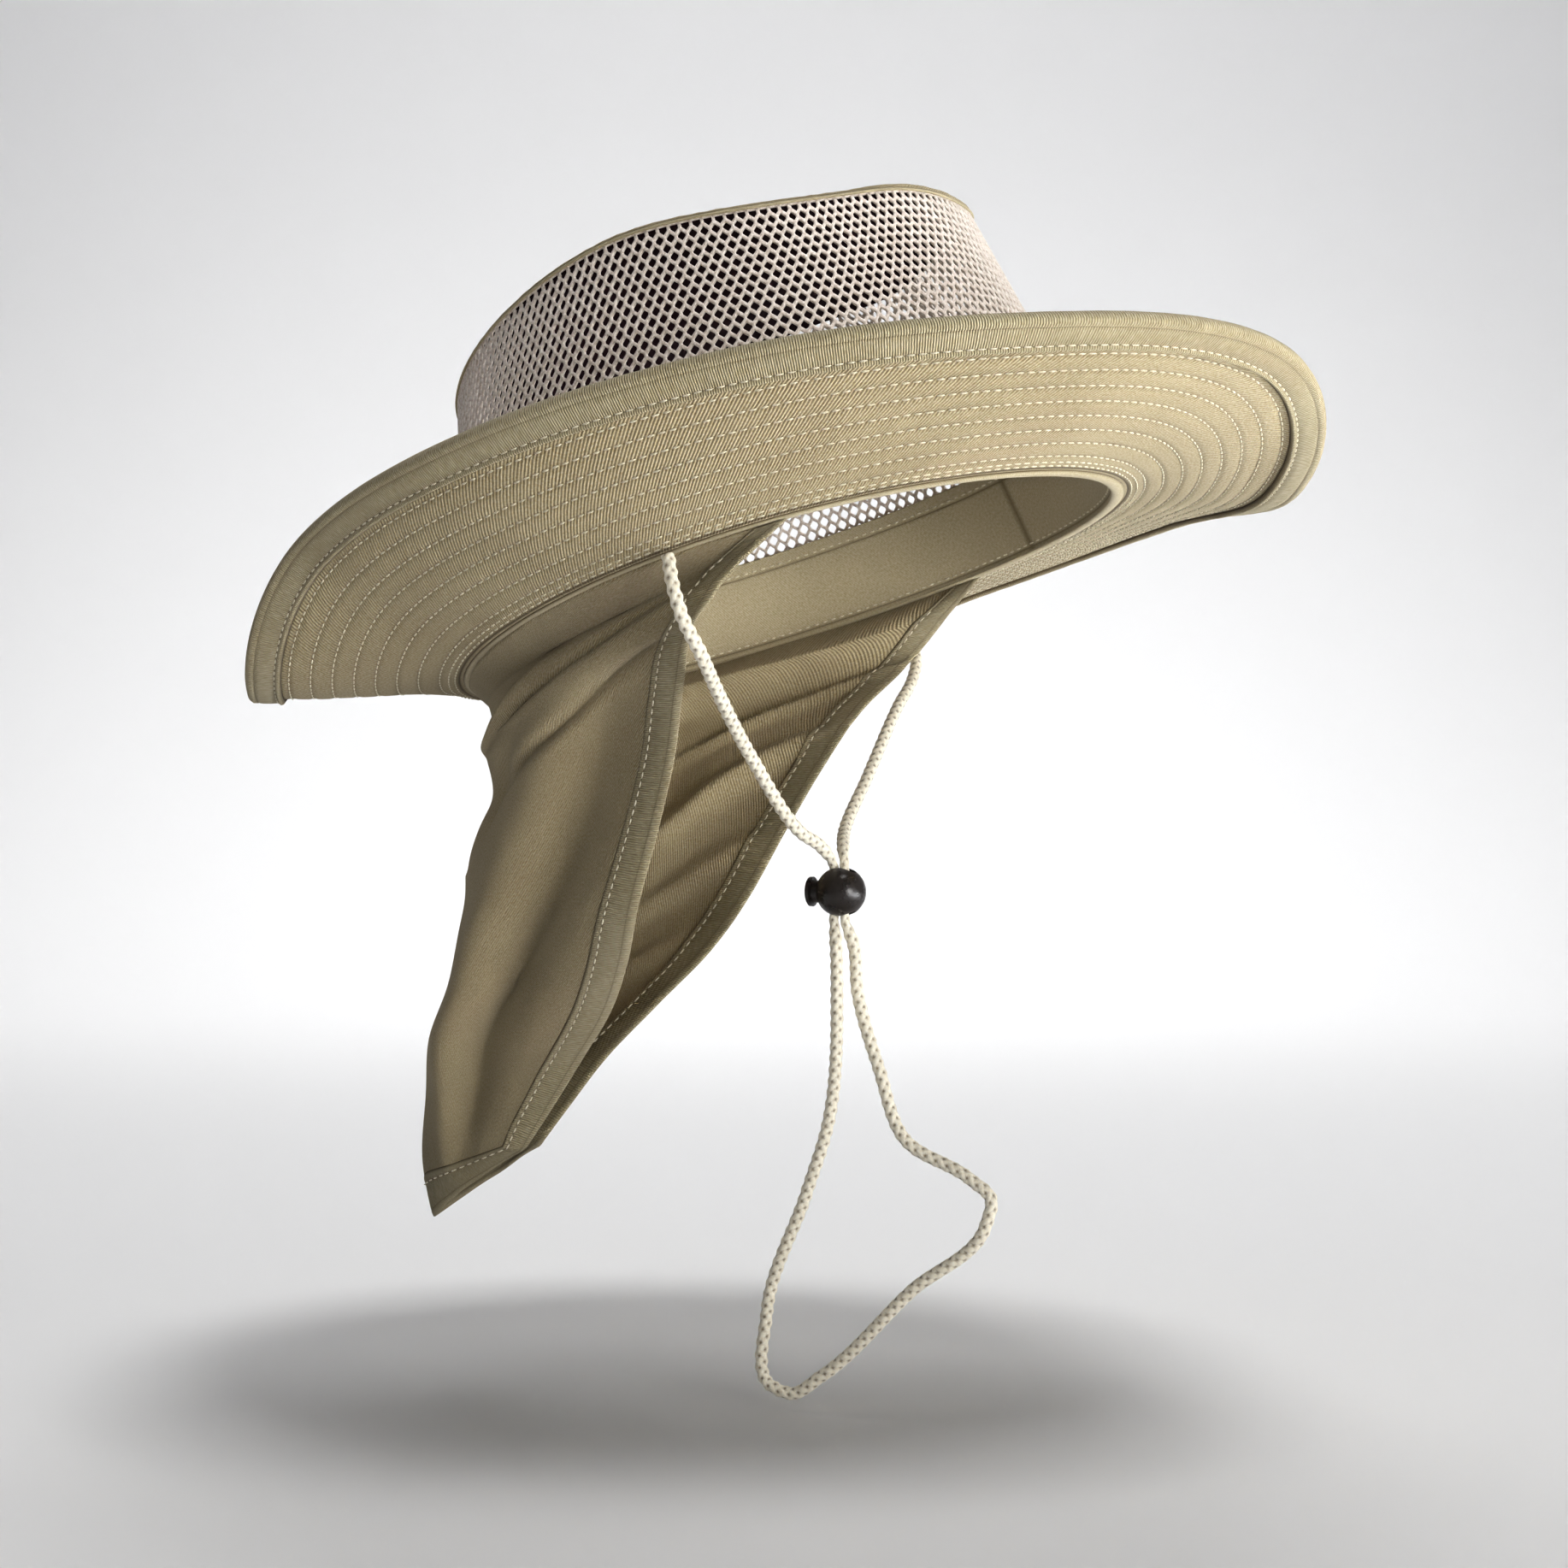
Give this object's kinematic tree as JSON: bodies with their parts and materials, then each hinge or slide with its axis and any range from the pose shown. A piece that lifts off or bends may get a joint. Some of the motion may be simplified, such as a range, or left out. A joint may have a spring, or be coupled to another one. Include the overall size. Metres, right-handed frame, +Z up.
{
  "type": "flap sun hat",
  "caption": "Wide-brimmed cloth sun hat with a net crown, a hanging neck flap and a corded chin strap with a push-button lock, tipped back as worn.",
  "frame": {"origin": "centre of the head opening, where the hat sits on the head", "axes": "+Z up, front of the hat towards -Y, +X across the hat; the hat is tipped back 16.3 degrees, so its front is raised"},
  "size_m": [0.2762, 0.3232, 0.3512],
  "materials": {
    "khaki_twill": "matt cotton twill",
    "khaki_tape": "ribbed cotton tape",
    "beige_net": "knitted polyester net",
    "cream_cord": "braided cord",
    "black_plastic": "satin moulded plastic"
  },
  "bodies": {
    "hat": {"sweatband": "khaki_twill", "crown_net": "beige_net", "crown_top": "khaki_twill", "brim": "khaki_twill", "brim_tape": "khaki_tape", "flap": "khaki_twill", "flap_tape": "khaki_tape", "chin_cord": "cream_cord", "cord_lock_ball": "black_plastic"},
    "plunger": {"cord_lock_plunger": "black_plastic"}
  },
  "joints": [
    {"name": "lock_plunger", "type": "slide", "parent": "hat", "child": "plunger", "axis": [0, -1, 0], "range_m": [0, 0.0018], "stiffness_N_per_m": 400}
  ]
}
